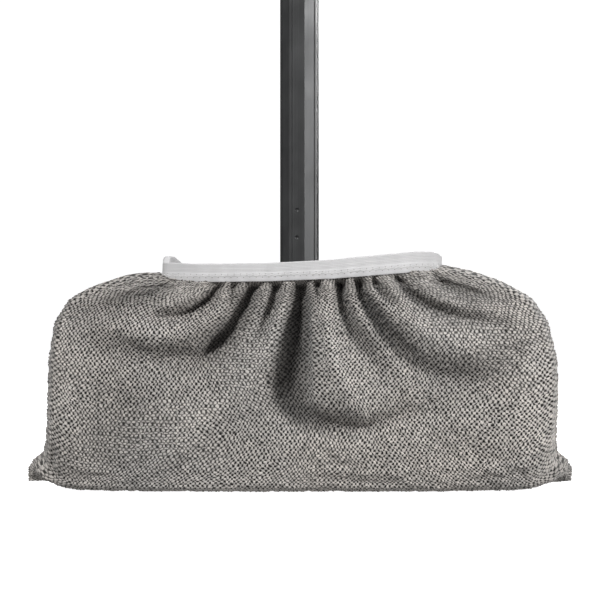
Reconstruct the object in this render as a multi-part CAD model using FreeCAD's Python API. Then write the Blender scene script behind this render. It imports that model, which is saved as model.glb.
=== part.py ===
import FreeCAD, Part

import math
import os

# Carpet sweeper: a wide rubber-bristled head on a telescopic pole, with a slip-on cover.
# Millimetres. +X along the head, +Z up, and the user stands on the +Y side.
# The origin is on the floor, under the middle of the head.

V = FreeCAD.Vector
X_AXIS = V(1, 0, 0)
Y_AXIS = V(0, 1, 0)
Z_AXIS = V(0, 0, 1)

# Clearances
RUNNING = 0.06  # radial, shaft in a turning or sliding fit
SEATED = 0.1  # between pieces that are fixed together
THREAD_FIT = 0.05
WASHER_FIT = 0.03
PIN_FIT = 0.03
FAR = 400.0  # beyond the object on every side
OVER = 1.0  # how far a cutting solid starts outside the one it cuts

# Cover: (height, half width, half depth) of its outer face, from the floor to the mouth
COVER_WALL = 3.0
COVER_POWER = 2.8  # how square the pouch is, seen from above
COVER_OUTLINE = [
    (0.0, 158.0, 34.0),
    (6.0, 168.0, 39.0),
    (20.0, 163.0, 41.0),
    (60.0, 160.0, 42.0),
    (100.0, 157.5, 40.0),
    (117.0, 149.0, 36.0),
    (127.0, 131.0, 31.0),
]
MOUTH_HALF_WIDTH = 86.0
MOUTH_HALF_DEPTH = 24.5
HEM_HALF_WALL = 1.1  # half the thickness of the gathered edge inside the band

# Elastic band folded over the mouth's edge
BAND_BOTTOM = 131.5
BAND_HEIGHT = 12.0
BAND_LAYER = 1.2
BAND_FOLD = 2.0
BAND_GAP = 0.2  # between the cover's shoulder and the band's lower edge
HEM_GAP = 0.5  # between the hem's edge and the fold

# Head
HEAD_HALF_WIDTH = 147.0
HEAD_HALF_DEPTH = 22.0
HEAD_CORNER = 15.0
BASE_BOTTOM = 46.0
BASE_TOP = 60.0
SHELL_TOP = 124.0
SHELL_SHOULDER = (124.0, 119.0)
SHELL_SIDE_TOP = 97.0
SHELL_TOP_HALF_DEPTH = 13.0
SHELL_WALL = 2.5
RIB_X = 70.0
RIB_WALL = 2.0
BUMPER_WALL = 2.0
BUMPER_BOTTOM = 52.0
BUMPER_TOP = 76.0
BUMPER_REACH = 17.0  # how far each end strip wraps round the head
SIDE_BEND = 77.0  # above this height the shell's long sides lean in

# Rows in the base, front to rear
ROW_PITCH = 11.0
FIRST_ROW_Y = -15.0
ROW_HALF_LENGTH = 125.0
ROW_END_GAP = 0.5
RAIL_WIDTH = 7.0
RAIL_BOTTOM = 50.0
RAIL_TOP = 55.0
NECK_WIDTH = 4.6
BRISTLE_TIP_Z = 4.0
BRISTLE_PITCH = 6.25
BRISTLE_ROOT_R = 2.1
BRISTLE_TIP_R = 1.1
ROOT_HEIGHT = 1.0  # the strip that the cones stand on
BLADE_Y = 17.0
BLADE_WALL = 2.4
BLADE_BEAD = 4.2
BLADE_TIP_Z = 14.0

# Screws
SCREW_R = 2.0
SCREW_HEAD_R = 3.5
SCREW_LENGTH = 20.0
SCREW_HEAD = 2.4
DRIVE_R = 1.2
DRIVE_DEPTH = 1.2
BOSS_R = 4.8
BOSS_HOLE = 13.0
HEAD_SCREW_X = 136.0
HEAD_SCREW_Y = 9.0
BRACKET_SCREW_Y = 8.0
BRACKET_SCREW_LENGTH = 14.0
BRACKET_BOSS = 16.0
BRACKET_HOLE = 12.0

# Pivot between head and pole
PIVOT_Z = 100.0
NOTCH_HALF_WIDTH = 27.0
NOTCH_FLOOR = 82.0
BRACKET_PLATE = 4.0
EAR_INNER = 14.0
EAR_WALL = 5.0
EAR_R = 12.0
BOLT_R = 4.0
BOLT_HEAD_R = 7.0
BOLT_HEAD = 4.8
BARREL_R = 11.0
BARREL_HALF = 12.9
WASHER = 1.0
WASHER_R = 9.5
THROAT_WIDTH = 18.0
THROAT_DEPTH = 16.0
SHOULDER_BOTTOM = 115.0

# Pole: an eight-sided tube, turned a little about its own axis
POLE_TURN = -8.0  # degrees, from a flat facing straight forward
TUBE_R = 12.4  # to the corners
TUBE_WALL = 1.5
FLUTE_DEPTH = 0.5
FLUTE_LAND = 1.5  # width of the land left beside each corner
TUBE_BOTTOM = 124.0
TUBE_TOP = 744.0
SPIGOT_TOP = 180.0
CRIMP_HEIGHTS = (155.0, 172.0)
CRIMP_R = 1.6
CRIMP_DEPTH = 0.8
CRIMP_METAL = 0.9

INNER_TUBE_R = 10.3
INNER_TUBE_WALL = 1.2
INNER_BOTTOM = 500.0
INNER_TOP = 1150.0
BUSH_HEAD = 18.0
BUSH_PLUG = 22.0
BUSH_HOLE_R = 5.0

# Clamp
COLLAR_R = 17.0
COLLAR_BOTTOM = 716.0
COLLAR_TOP = 760.0
LUG_HALF = 8.0
LUG_END = 30.0
LUG_BOTTOM = 727.0
LUG_TOP = 751.0
SLIT = 2.0
CLAMP_Y = 23.0
CLAMP_Z = 739.0
CLAMP_BOLT_R = 2.5
CLAMP_HEAD_R = 5.0
CLAMP_HEAD = 4.0
CAM_R = 6.0
CAM_GAP = 0.3
EYE_R = 5.0
EYE_WALL = 5.0
EYE_ROOM = 1.2  # round the eye, for it to turn in the lever
LEVER_HALF_HEIGHT = 9.0
LEVER_SLOT = 5.6
LEVER_ARM_INNER = 17.8
LEVER_ARM_WALL = 4.0
LEVER_ARM_END = -22.0
LEVER_ROOT_Y = 16.5
LEVER_PIN_R = 1.8
PIN_SUNK = 0.5

# Grip, cap and hanging eye
GRIP_BOTTOM = 1020.0
GRIP_R = 15.0
GRIP_RIB = 0.8
GRIP_RIBS = 9
GRIP_EDGE = 2.5
CAP_TOP = 1160.0
CAP_PLUG_BOTTOM = 1120.0
CAP_CAVITY_R = 6.0
CAP_EDGE = 3.0
STEM_R = 3.0
BARB_R = 4.2
BARB_BOTTOM = 1143.0
BARB_TOP = 1149.6
HANG_EYE_Z = 1180.0
HANG_EYE_R = 14.0
HANG_HOLE_R = 7.0
HANG_EYE_WALL = 6.0
FOOT_R = 6.0
FOOT_GAP = 0.4
FOOT_SUNK = 2.4  # how far the round foot runs up into the flat eye

INCIRCLE = math.cos(math.radians(22.5))  # an octagon's flat-to-centre over corner-to-centre


def block(x0, x1, y0, y1, z0, z1):
    return Part.makeBox(x1 - x0, y1 - y0, z1 - z0, V(x0, y0, z0))


def rod(start, axis, radius, length):
    return Part.makeCylinder(radius, length, start, axis)


def save(shape, name):
    shape.exportStep("parts/" + name + ".step")


def prism(points, z0, z1):
    face = Part.Face(Part.makePolygon(points + points[:1]))
    face.translate(V(0, 0, z0 - points[0].z))
    return face.extrude(V(0, 0, z1 - z0))


def octagon(radius, z0, z1):
    """Eight-sided prism about the pole's axis, turned with the pole."""
    points = []
    for corner in range(8):
        angle = math.radians(POLE_TURN + 22.5 + 45.0 * corner)
        points.append(V(radius * math.cos(angle), radius * math.sin(angle), z0))
    return prism(points, z0, z1)


def rounded_plan(half_width, half_depth, corner, z0, z1):
    """Upright prism with a rounded-rectangle plan."""
    solid = block(-half_width, half_width, -half_depth, half_depth, z0, z1)
    uprights = []
    for edge in solid.Edges:
        ends = edge.Vertexes
        if abs(ends[0].Z - ends[1].Z) > 1e-6:
            uprights.append(edge)
    return solid.makeFillet(corner, uprights)


# ---------------------------------------------------------------- cover


def pouch_ring(z, half_width, half_depth):
    """Closed curve round the pouch at one height: a superellipse."""
    points = []
    steps = 40
    for step in range(steps):
        angle = 2 * math.pi * step / steps
        c = math.cos(angle)
        s = math.sin(angle)
        x = half_width * math.copysign(abs(c) ** (2 / COVER_POWER), c)
        y = half_depth * math.copysign(abs(s) ** (2 / COVER_POWER), s)
        points.append(V(x, y, z))
    curve = Part.BSplineCurve()
    curve.interpolate(points, PeriodicFlag=True)
    return Part.Wire(curve.toShape())


def pouch_solid(outline):
    return Part.makeLoft([pouch_ring(*level) for level in outline], True, True)


def inner_outline(outline):
    """The outline moved one wall inwards, square to the pouch's side profile."""
    inner = []
    for index in range(1, len(outline)):
        z, half_width, half_depth = outline[index]
        below = outline[index - 1]
        above = outline[min(index + 1, len(outline) - 1)]
        run = above[1] - below[1]
        rise = above[0] - below[0]
        slope = math.hypot(run, rise)
        dz = COVER_WALL * run / slope
        dx = COVER_WALL * rise / slope
        inner.append((z + dz, half_width - dx, half_depth - dx))
    floor = (COVER_WALL, outline[0][1] - COVER_WALL, outline[0][2] - COVER_WALL)
    return [floor] + [level for level in inner if level[0] > COVER_WALL + 1]


def cover():
    """The whole pouch: closed at the floor, open at the mouth, its edge standing up inside the band."""
    hem_top = BAND_BOTTOM + BAND_HEIGHT - BAND_FOLD - HEM_GAP
    outer_hem = (MOUTH_HALF_WIDTH + HEM_HALF_WALL, MOUTH_HALF_DEPTH + HEM_HALF_WALL)
    inner_hem = (MOUTH_HALF_WIDTH - HEM_HALF_WALL, MOUTH_HALF_DEPTH - HEM_HALF_WALL)
    outside = COVER_OUTLINE + [(BAND_BOTTOM - BAND_GAP,) + outer_hem, (hem_top,) + outer_hem]
    inside = inner_outline(COVER_OUTLINE + [(BAND_BOTTOM - BAND_GAP,) + outer_hem])[:-1]
    inside += [(BAND_BOTTOM - COVER_WALL,) + inner_hem, (hem_top + OVER,) + inner_hem]
    return pouch_solid(outside).cut(pouch_solid(inside))


def cover_panels():
    """Front and rear panels, which meet at the side and bottom seams."""
    pouch = cover()
    front = pouch.common(block(-FAR, FAR, -FAR, 0, -OVER, FAR))
    rear = pouch.common(block(-FAR, FAR, 0, FAR, -OVER, FAR))
    return front, rear


def band_ring(offset, z0, z1):
    half_width = MOUTH_HALF_WIDTH + offset
    half_depth = MOUTH_HALF_DEPTH + offset
    return pouch_solid([(z0, half_width, half_depth), (z1, half_width, half_depth)])


def elastic_band():
    """A strip folded over the cover's edge, so that its section is an upside-down U."""
    top = BAND_BOTTOM + BAND_HEIGHT
    slot = HEM_HALF_WALL + SEATED
    body = band_ring(slot + BAND_LAYER, BAND_BOTTOM, top)
    body = body.cut(band_ring(-slot - BAND_LAYER, BAND_BOTTOM - OVER, top + OVER))
    hem_space = band_ring(slot, BAND_BOTTOM - OVER, top - BAND_FOLD)
    hem_space = hem_space.cut(band_ring(-slot, BAND_BOTTOM - 2 * OVER, top))
    return body.cut(hem_space)


# ---------------------------------------------------------------- head


def bristle_row(y):
    """One rubber strip: a rail that slides into the base, and cones that hang from it."""
    half = ROW_HALF_LENGTH - ROW_END_GAP
    rail = block(-half, half, y - RAIL_WIDTH / 2, y + RAIL_WIDTH / 2, RAIL_BOTTOM, RAIL_TOP)
    neck = NECK_WIDTH / 2 - SEATED
    web = block(-half, half, y - neck, y + neck, BASE_BOTTOM - ROOT_HEIGHT, RAIL_BOTTOM)
    cones = []
    count = int(2 * (half - BRISTLE_ROOT_R) / BRISTLE_PITCH) + 1
    first = -(count - 1) * BRISTLE_PITCH / 2
    top = BASE_BOTTOM - ROOT_HEIGHT / 2
    for number in range(count):
        base = V(first + number * BRISTLE_PITCH, y, BRISTLE_TIP_Z)
        cones.append(Part.makeCone(BRISTLE_TIP_R, BRISTLE_ROOT_R, top - BRISTLE_TIP_Z, base, Z_AXIS))
    return rail.fuse([web] + cones).removeSplitter()


def squeegee_blade():
    half = ROW_HALF_LENGTH - ROW_END_GAP
    bead = block(-half, half, BLADE_Y - BLADE_BEAD / 2, BLADE_Y + BLADE_BEAD / 2, RAIL_BOTTOM, RAIL_TOP)
    blade = block(-half, half, BLADE_Y - BLADE_WALL / 2, BLADE_Y + BLADE_WALL / 2, BLADE_TIP_Z, RAIL_BOTTOM)
    return bead.fuse(blade).removeSplitter()


def groove(y, wide, narrow):
    """Inverted T slot along the base, open underneath."""
    half = ROW_HALF_LENGTH
    wide_half = wide / 2 + SEATED
    head = block(-half, half, y - wide_half, y + wide_half, RAIL_BOTTOM - SEATED, RAIL_TOP + SEATED)
    mouth = block(-half, half, y - narrow / 2, y + narrow / 2, BASE_BOTTOM - OVER, RAIL_BOTTOM)
    return head.fuse(mouth)


def head_screw_places():
    places = []
    for side in (-1, 1):
        for depth in (-1, 1):
            places.append(V(side * HEAD_SCREW_X, depth * HEAD_SCREW_Y, 0))
    return places


def head_base(rows):
    base = rounded_plan(HEAD_HALF_WIDTH, HEAD_HALF_DEPTH, HEAD_CORNER, BASE_BOTTOM, BASE_TOP)
    for y in rows:
        base = base.cut(groove(y, RAIL_WIDTH, NECK_WIDTH))
    base = base.cut(groove(BLADE_Y, BLADE_BEAD, BLADE_WALL + 2 * SEATED))
    for place in head_screw_places():
        bottom = place + V(0, 0, BASE_BOTTOM - OVER)
        base = base.cut(rod(bottom, Z_AXIS, SCREW_R + SEATED, BASE_TOP))
        base = base.cut(rod(bottom, Z_AXIS, SCREW_HEAD_R + SEATED, OVER + SCREW_HEAD + SEATED))
    return base


def head_screws():
    """Pan-head screws that come up through the base into the shell's bosses."""
    screws = []
    for place in head_screw_places():
        head = rod(place + V(0, 0, BASE_BOTTOM), Z_AXIS, SCREW_HEAD_R, SCREW_HEAD)
        shank = rod(place + V(0, 0, BASE_BOTTOM), Z_AXIS, SCREW_R, SCREW_HEAD + SCREW_LENGTH)
        drive = rod(place + V(0, 0, BASE_BOTTOM - OVER), Z_AXIS, DRIVE_R, OVER + DRIVE_DEPTH)
        screws.append(head.fuse(shank).cut(drive))
    return Part.makeCompound(screws)


def shell_block(inset):
    """The upper shell's outside (inset 0) or, one wall in, its inside."""
    x_end = HEAD_HALF_WIDTH - inset
    x_top, z_top = SHELL_SHOULDER
    x_top = x_top - inset
    z_top = z_top - inset
    crown = SHELL_TOP - inset
    low = BASE_TOP if inset == 0 else BASE_TOP - OVER
    bend = math.sqrt(0.5)
    corner_x = x_end - (x_end - x_top) * (1 - bend)
    corner_z = SHELL_SIDE_TOP + (z_top - SHELL_SIDE_TOP) * bend
    y = -HEAD_HALF_DEPTH - OVER
    points = {
        "foot": V(x_end, y, low),
        "side": V(x_end, y, SHELL_SIDE_TOP),
        "bend": V(corner_x, y, corner_z),
        "shoulder": V(x_top, y, z_top),
    }
    mirror = {name: V(-p.x, p.y, p.z) for name, p in points.items()}
    edges = [
        Part.makeLine(mirror["foot"], points["foot"]),
        Part.makeLine(points["foot"], points["side"]),
        Part.Arc(points["side"], points["bend"], points["shoulder"]).toShape(),
        Part.Arc(points["shoulder"], V(0, y, crown), mirror["shoulder"]).toShape(),
        Part.Arc(mirror["shoulder"], mirror["bend"], mirror["side"]).toShape(),
        Part.makeLine(mirror["side"], mirror["foot"]),
    ]
    front_view = Part.Face(Part.Wire(edges)).extrude(V(0, 2 * (HEAD_HALF_DEPTH + OVER), 0))

    deep = HEAD_HALF_DEPTH - inset
    slim = SHELL_TOP_HALF_DEPTH - inset
    side = [
        V(-FAR / 2, -deep, low),
        V(-FAR / 2, deep, low),
        V(-FAR / 2, deep, SIDE_BEND),
        V(-FAR / 2, slim, SHELL_TOP + OVER),
        V(-FAR / 2, -slim, SHELL_TOP + OVER),
        V(-FAR / 2, -deep, SIDE_BEND),
    ]
    side_view = Part.Face(Part.makePolygon(side + side[:1])).extrude(V(FAR, 0, 0))
    plan = rounded_plan(x_end, deep, HEAD_CORNER - inset, low, SHELL_TOP + OVER)
    return front_view.common(side_view).common(plan)


def head_shell():
    """Hollow moulding with a notch in the middle of its top for the pivot."""
    wall = SHELL_WALL
    notch = block(-NOTCH_HALF_WIDTH, NOTCH_HALF_WIDTH, -FAR, FAR, NOTCH_FLOOR, FAR)
    notch_wall = block(
        -NOTCH_HALF_WIDTH - wall, NOTCH_HALF_WIDTH + wall, -FAR, FAR, NOTCH_FLOOR - wall, FAR
    )
    cavity = shell_block(wall).cut(notch_wall)
    whole = shell_block(0).cut(notch)
    bosses = []
    holes = []
    for place in head_screw_places():
        bosses.append(rod(place + V(0, 0, BASE_TOP), Z_AXIS, BOSS_R, FAR))
        holes.append(rod(place + V(0, 0, BASE_TOP - OVER), Z_AXIS, SCREW_R + SEATED, OVER + BOSS_HOLE))
    for side in (-1, 1):
        middle = V(0, side * BRACKET_SCREW_Y, 0)
        foot = middle + V(0, 0, NOTCH_FLOOR - BRACKET_BOSS)
        hole_end = middle + V(0, 0, NOTCH_FLOOR - BRACKET_HOLE)
        bosses.append(rod(foot, Z_AXIS, BOSS_R, BRACKET_BOSS))
        holes.append(rod(hole_end, Z_AXIS, SCREW_R + SEATED, BRACKET_HOLE + OVER))
    rib = block(-RIB_X - RIB_WALL, -RIB_X, -FAR, FAR, BASE_TOP, FAR)
    ribs = rib.fuse(rib.mirror(V(0, 0, 0), X_AXIS))
    filled = shell_block(0).cut(notch).common(ribs.fuse(bosses))
    return whole.cut(cavity).fuse(filled).cut(holes[0].fuse(holes[1:]))


def end_bumper(side):
    """Rubber strip round one end of the head."""
    wall = BUMPER_WALL
    gap = SEATED
    outside = rounded_plan(
        HEAD_HALF_WIDTH + gap + wall,
        HEAD_HALF_DEPTH + gap + wall,
        HEAD_CORNER + gap + wall,
        BUMPER_BOTTOM,
        BUMPER_TOP,
    )
    inside = rounded_plan(
        HEAD_HALF_WIDTH + gap,
        HEAD_HALF_DEPTH + gap,
        HEAD_CORNER + gap,
        BUMPER_BOTTOM - OVER,
        BUMPER_TOP + OVER,
    )
    start = HEAD_HALF_WIDTH - BUMPER_REACH
    strip = outside.cut(inside)
    if side > 0:
        return strip.common(block(start, FAR, -FAR, FAR, 0, FAR))
    return strip.common(block(-FAR, -start, -FAR, FAR, 0, FAR))


# ---------------------------------------------------------------- pivot


def pivot_bracket():
    """U-shaped steel clevis: a plate and two round-topped ears."""
    plate_top = NOTCH_FLOOR + SEATED + BRACKET_PLATE
    outer = EAR_INNER + EAR_WALL
    shape = block(-outer, outer, -EAR_R, EAR_R, NOTCH_FLOOR + SEATED, plate_top)
    for inner in (EAR_INNER, -outer):
        ear = block(inner, inner + EAR_WALL, -EAR_R, EAR_R, plate_top - OVER, PIVOT_Z)
        crown = rod(V(inner, 0, PIVOT_Z), X_AXIS, EAR_R, EAR_WALL)
        shape = shape.fuse(ear).fuse(crown)
    shape = shape.cut(rod(V(-FAR, 0, PIVOT_Z), X_AXIS, BOLT_R + RUNNING, 2 * FAR))
    for side in (-1, 1):
        under = V(0, side * BRACKET_SCREW_Y, NOTCH_FLOOR - OVER)
        hole = rod(under, Z_AXIS, SCREW_R + SEATED, 2 * BRACKET_PLATE)
        shape = shape.cut(hole)
    return shape.removeSplitter()


def bracket_screws():
    screws = []
    top = NOTCH_FLOOR + BRACKET_PLATE + 2 * SEATED
    for side in (-1, 1):
        middle = V(0, side * BRACKET_SCREW_Y, top)
        head = rod(middle, Z_AXIS, SCREW_HEAD_R, SCREW_HEAD)
        shank = rod(middle - V(0, 0, BRACKET_SCREW_LENGTH), Z_AXIS, SCREW_R, BRACKET_SCREW_LENGTH)
        screws.append(head.fuse(shank))
    return Part.makeCompound(screws)


def hexagon(start, radius, length):
    """Six-sided bar along +X, radius to its corners."""
    points = []
    for corner in range(7):
        angle = math.radians(60.0 * corner)
        points.append(start + V(0, radius * math.cos(angle), radius * math.sin(angle)))
    return Part.Face(Part.makePolygon(points)).extrude(V(length, 0, 0))


def pivot_bolt():
    outer = EAR_INNER + EAR_WALL + SEATED
    head = hexagon(V(-outer - BOLT_HEAD, 0, PIVOT_Z), BOLT_HEAD_R, BOLT_HEAD)
    shank = rod(V(-outer, 0, PIVOT_Z), X_AXIS, BOLT_R, 2 * outer + BOLT_HEAD)
    return head.fuse(shank)


def pivot_nut():
    outer = EAR_INNER + EAR_WALL + SEATED
    nut = hexagon(V(outer, 0, PIVOT_Z), BOLT_HEAD_R, BOLT_HEAD - SEATED)
    return nut.cut(rod(V(0, 0, PIVOT_Z), X_AXIS, BOLT_R + THREAD_FIT, FAR))


def pivot_washers():
    """Friction washers, one on each side of the knuckle's barrel."""
    washers = []
    for start in (BARREL_HALF + WASHER_FIT, -BARREL_HALF - WASHER_FIT - WASHER):
        disc = rod(V(start, 0, PIVOT_Z), X_AXIS, WASHER_R, WASHER)
        washers.append(disc.cut(rod(V(-FAR, 0, PIVOT_Z), X_AXIS, BOLT_R + SEATED, 2 * FAR)))
    return Part.makeCompound(washers)


def facet_direction(quarter):
    """Outward direction of every second flat of the tube, starting at the front one."""
    angle = math.radians(POLE_TURN - 90.0 + 90.0 * quarter)
    return V(math.cos(angle), math.sin(angle), 0)


def crimp_balls(radius):
    """Balls whose skins make the crimp dimples, on four flats at each height."""
    distance = TUBE_R * INCIRCLE - FLUTE_DEPTH + CRIMP_R - CRIMP_DEPTH
    balls = []
    for height in CRIMP_HEIGHTS:
        for quarter in range(4):
            centre = facet_direction(quarter) * distance + V(0, 0, height)
            balls.append(Part.makeSphere(radius, centre))
    return balls[0].fuse(balls[1:])


def neck_knuckle():
    """Barrel on the pivot, a shoulder that the tube stands on, and a spigot inside the tube."""
    barrel = rod(V(-BARREL_HALF, 0, PIVOT_Z), X_AXIS, BARREL_R, 2 * BARREL_HALF)
    throat_low = PIVOT_Z + BOLT_R
    throat_top = SHOULDER_BOTTOM + OVER
    wide = THROAT_WIDTH / 2
    deep = THROAT_DEPTH / 2
    throat = block(-wide, wide, -deep, deep, throat_low, throat_top)
    shoulder = octagon(TUBE_R, SHOULDER_BOTTOM, TUBE_BOTTOM - SEATED)
    inner_r = TUBE_R - TUBE_WALL / INCIRCLE
    spigot = octagon(inner_r - SEATED, TUBE_BOTTOM - OVER, SPIGOT_TOP)
    spigot = spigot.cut(crimp_balls(CRIMP_R + CRIMP_METAL + SEATED))
    shape = barrel.fuse([throat, shoulder, spigot])
    return shape.cut(rod(V(-FAR, 0, PIVOT_Z), X_AXIS, BOLT_R + THREAD_FIT, 2 * FAR)).removeSplitter()


# ---------------------------------------------------------------- pole


def flutes(radius, z0, z1):
    """Shallow channels down the middle of each flat, leaving a land beside every corner."""
    apothem = radius * INCIRCLE
    half_flat = radius * math.sin(math.radians(22.5))
    half = half_flat - FLUTE_LAND
    channels = []
    for flat in range(8):
        channel = block(apothem - FLUTE_DEPTH, apothem + OVER, -half, half, z0 - OVER, z1 + OVER)
        channel.rotate(V(0, 0, 0), Z_AXIS, POLE_TURN + 45.0 * flat)
        channels.append(channel)
    return Part.makeCompound(channels)


def lower_tube():
    """Fluted eight-sided tube, crimped on to the knuckle's spigot."""
    inner_r = TUBE_R - TUBE_WALL / INCIRCLE
    outside = octagon(TUBE_R, TUBE_BOTTOM, TUBE_TOP)
    outside = outside.cut(flutes(TUBE_R, TUBE_BOTTOM, TUBE_TOP))
    bore = octagon(inner_r, TUBE_BOTTOM - OVER, TUBE_TOP + OVER)
    inside = octagon(inner_r + SEATED, TUBE_BOTTOM, SPIGOT_TOP)
    dents = crimp_balls(CRIMP_R + CRIMP_METAL).common(inside)
    tube = outside.cut(bore).fuse(dents)
    return tube.cut(crimp_balls(CRIMP_R))


def upper_tube():
    inner_r = INNER_TUBE_R - INNER_TUBE_WALL / INCIRCLE
    outside = octagon(INNER_TUBE_R, INNER_BOTTOM, INNER_TOP)
    return outside.cut(octagon(inner_r, INNER_BOTTOM - OVER, INNER_TOP + OVER))


def guide_bush():
    """Plastic foot of the inner tube. Its head slides in the outer tube."""
    slide_r = TUBE_R - TUBE_WALL / INCIRCLE - RUNNING / INCIRCLE
    plug_r = INNER_TUBE_R - (INNER_TUBE_WALL + SEATED) / INCIRCLE
    head = octagon(slide_r, INNER_BOTTOM - BUSH_HEAD, INNER_BOTTOM)
    plug = octagon(plug_r, INNER_BOTTOM - OVER, INNER_BOTTOM + BUSH_PLUG)
    hollow = rod(V(0, 0, INNER_BOTTOM - BUSH_HEAD - OVER), Z_AXIS, BUSH_HOLE_R, FAR)
    return head.fuse(plug).cut(hollow)


def clamp_collar():
    """Split collar fixed on the outer tube's top, with two lugs behind it that squeeze the inner tube."""
    ring = rod(V(0, 0, COLLAR_BOTTOM), Z_AXIS, COLLAR_R, COLLAR_TOP - COLLAR_BOTTOM)
    lugs = block(-LUG_HALF, LUG_HALF, TUBE_R, LUG_END, LUG_BOTTOM, LUG_TOP)
    shape = ring.fuse(lugs)
    shape = shape.cut(octagon(TUBE_R + SEATED, COLLAR_BOTTOM - OVER, TUBE_TOP + SEATED))
    shape = shape.cut(octagon(INNER_TUBE_R + SEATED, TUBE_TOP, COLLAR_TOP + OVER))
    shape = shape.cut(block(-SLIT / 2, SLIT / 2, 0, FAR, COLLAR_BOTTOM - OVER, COLLAR_TOP + OVER))
    return shape.cut(rod(V(-FAR, CLAMP_Y, CLAMP_Z), X_AXIS, CLAMP_BOLT_R + SEATED, 2 * FAR))


def cam_centre_x():
    return LUG_HALF + CAM_GAP + CAM_R


def clamp_bolt():
    """Eye bolt through both lugs: a hexagonal head on the left one, an eye for the lever to turn on."""
    centre = cam_centre_x()
    head = hexagon(V(-LUG_HALF - SEATED - CLAMP_HEAD, CLAMP_Y, CLAMP_Z), CLAMP_HEAD_R, CLAMP_HEAD)
    shank = rod(V(-LUG_HALF - SEATED, CLAMP_Y, CLAMP_Z), X_AXIS, CLAMP_BOLT_R, LUG_HALF + centre)
    low = CLAMP_Z - EYE_WALL / 2
    eye = rod(V(centre, CLAMP_Y, low), Z_AXIS, EYE_R, EYE_WALL)
    trimmed = shank.common(block(-FAR, FAR, -FAR, FAR, low, low + EYE_WALL))
    hole = rod(V(centre, CLAMP_Y, low - OVER), Z_AXIS, LEVER_PIN_R + RUNNING, EYE_WALL + 2 * OVER)
    return head.fuse([trimmed, eye]).cut(hole)


def cam_lever():
    """Two cam discs on the pin, joined by an arm that lies along the collar's right side when shut."""
    centre = cam_centre_x()
    z0 = CLAMP_Z - LEVER_HALF_HEIGHT
    height = 2 * LEVER_HALF_HEIGHT
    arm_outer = LEVER_ARM_INNER + LEVER_ARM_WALL
    disc = rod(V(centre, CLAMP_Y, z0), Z_AXIS, CAM_R, height)
    cheek = block(centre, arm_outer, LEVER_ROOT_Y - OVER, CLAMP_Y, z0, z0 + height)
    arm = block(LEVER_ARM_INNER, arm_outer, LEVER_ARM_END, LEVER_ROOT_Y, z0, z0 + height)
    tip = rod(V(LEVER_ARM_INNER, LEVER_ARM_END, CLAMP_Z), X_AXIS, LEVER_HALF_HEIGHT, LEVER_ARM_WALL)
    shape = disc.fuse([cheek, arm, tip])
    slot_low = CLAMP_Z - LEVER_SLOT / 2
    slot = block(0, FAR, LEVER_ROOT_Y, FAR, slot_low, slot_low + LEVER_SLOT)
    slot = slot.fuse(rod(V(centre, CLAMP_Y, slot_low), Z_AXIS, EYE_R + EYE_ROOM, LEVER_SLOT))
    hole = rod(V(centre, CLAMP_Y, 0), Z_AXIS, LEVER_PIN_R + PIN_FIT, CLAMP_Z + FAR)
    return shape.cut(slot).cut(hole).removeSplitter()


def lever_pin():
    half = LEVER_HALF_HEIGHT - PIN_SUNK
    return rod(V(cam_centre_x(), CLAMP_Y, CLAMP_Z - half), Z_AXIS, LEVER_PIN_R, 2 * half)


# ---------------------------------------------------------------- top of the pole


def hand_grip():
    """Foam sleeve with shallow rings round it."""
    length = INNER_TOP - GRIP_BOTTOM
    sleeve = rod(V(0, 0, GRIP_BOTTOM), Z_AXIS, GRIP_R, length)
    sleeve = sleeve.makeFillet(GRIP_EDGE, [sleeve.Edges[0], sleeve.Edges[2]])
    pitch = length / (GRIP_RIBS + 1)
    rings = []
    for number in range(GRIP_RIBS):
        height = GRIP_BOTTOM + pitch * (number + 1)
        rings.append(Part.makeTorus(GRIP_R + GRIP_RIB, 2 * GRIP_RIB, V(0, 0, height), Z_AXIS))
    sleeve = sleeve.cut(rings[0].fuse(rings[1:]))
    return sleeve.cut(octagon(INNER_TUBE_R + SEATED, GRIP_BOTTOM - OVER, INNER_TOP + OVER))


def end_cap():
    """Cap plugged into the inner tube, with a through hole for the hanging eye's stem."""
    plug_r = (INNER_TUBE_R * INCIRCLE) - INNER_TUBE_WALL - SEATED
    flange = rod(V(0, 0, INNER_TOP + SEATED), Z_AXIS, GRIP_R, CAP_TOP - INNER_TOP - SEATED)
    flange = flange.makeFillet(CAP_EDGE, [flange.Edges[0]])
    plug = rod(V(0, 0, CAP_PLUG_BOTTOM), Z_AXIS, plug_r, INNER_TOP - CAP_PLUG_BOTTOM + OVER)
    cavity = rod(V(0, 0, CAP_PLUG_BOTTOM - OVER), Z_AXIS, CAP_CAVITY_R, INNER_TOP - CAP_PLUG_BOTTOM + OVER)
    hole = rod(V(0, 0, INNER_TOP - OVER), Z_AXIS, STEM_R + RUNNING, FAR)
    return flange.fuse(plug).cut(cavity).cut(hole)


def hang_eye():
    """Flat eye on a stem that snaps into the cap and turns in it."""
    half = HANG_EYE_WALL / 2
    disc = rod(V(0, -half, HANG_EYE_Z), Y_AXIS, HANG_EYE_R, HANG_EYE_WALL)
    stem = rod(V(0, 0, BARB_BOTTOM), Z_AXIS, STEM_R, HANG_EYE_Z - HANG_HOLE_R - STEM_R - BARB_BOTTOM)
    barb = rod(V(0, 0, BARB_BOTTOM), Z_AXIS, BARB_R, BARB_TOP - BARB_BOTTOM)
    foot_bottom = CAP_TOP + FOOT_GAP
    foot = rod(V(0, 0, foot_bottom), Z_AXIS, FOOT_R, HANG_EYE_Z - HANG_EYE_R - foot_bottom + FOOT_SUNK)
    hole = rod(V(0, -FAR, HANG_EYE_Z), Y_AXIS, HANG_HOLE_R, 2 * FAR)
    return disc.fuse([stem, barb, foot]).cut(hole)


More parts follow.
